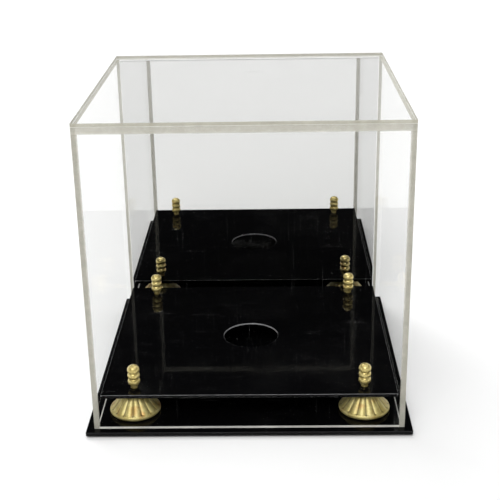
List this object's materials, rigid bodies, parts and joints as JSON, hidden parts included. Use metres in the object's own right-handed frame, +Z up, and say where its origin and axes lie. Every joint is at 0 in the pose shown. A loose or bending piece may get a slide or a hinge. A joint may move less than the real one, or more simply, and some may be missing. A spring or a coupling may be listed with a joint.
{
  "type": "football display case",
  "caption": "Clear lift-off display cover with a mirrored back, on a black base sheet with gilt risers under a black platform whose round hole seats a football.",
  "frame": {"origin": "centre of the footprint, on the surface that the feet stand on", "axes": "+Z up, -Y the open front that is looked through, +Y the mirrored back, +X to the right seen from the front"},
  "size_m": [0.2666, 0.2666, 0.262],
  "materials": {
    "clear_acrylic": "polished",
    "black_acrylic": "polished",
    "mirror_acrylic": "polished",
    "gilt_casting": "gloss",
    "gilt_nut": "gloss",
    "zinc_screw": "satin",
    "clear_bumper": "satin",
    "foam_tape": "matte"
  },
  "bodies": {
    "base": {"base_plate": "black_acrylic", "platform": "black_acrylic", "riser_front_left": "gilt_casting", "riser_front_right": "gilt_casting", "riser_rear_left": "gilt_casting", "riser_rear_right": "gilt_casting", "screw_front_left": "zinc_screw", "screw_front_right": "zinc_screw", "screw_rear_left": "zinc_screw", "screw_rear_right": "zinc_screw", "foot_front_left": "clear_bumper", "foot_front_right": "clear_bumper", "foot_rear_left": "clear_bumper", "foot_rear_right": "clear_bumper"},
    "finial_front_left": {"finial_front_left": "gilt_nut"},
    "finial_front_right": {"finial_front_right": "gilt_nut"},
    "finial_rear_left": {"finial_rear_left": "gilt_nut"},
    "finial_rear_right": {"finial_rear_right": "gilt_nut"},
    "cover": {"cover_top_panel": "clear_acrylic", "cover_front_panel": "clear_acrylic", "cover_back_panel": "clear_acrylic", "cover_left_panel": "clear_acrylic", "cover_right_panel": "clear_acrylic", "mirror_sheet": "mirror_acrylic", "mirror_tape_left": "foam_tape", "mirror_tape_right": "foam_tape"}
  },
  "joints": [
    {"name": "cover_lift", "type": "slide", "parent": "base", "child": "cover", "axis": [0, 0, 1], "range_m": [0, 0.3]},
    {"name": "finial_front_left_turn", "type": "hinge", "parent": "base", "child": "finial_front_left", "pos_m": [-0.0965, -0.0965, 0.0267], "axis": [0, 0, 1], "continuous": true},
    {"name": "finial_front_right_turn", "type": "hinge", "parent": "base", "child": "finial_front_right", "pos_m": [0.0965, -0.0965, 0.0267], "axis": [0, 0, 1], "continuous": true},
    {"name": "finial_rear_left_turn", "type": "hinge", "parent": "base", "child": "finial_rear_left", "pos_m": [-0.0965, 0.0965, 0.0267], "axis": [0, 0, 1], "continuous": true},
    {"name": "finial_rear_right_turn", "type": "hinge", "parent": "base", "child": "finial_rear_right", "pos_m": [0.0965, 0.0965, 0.0267], "axis": [0, 0, 1], "continuous": true}
  ]
}
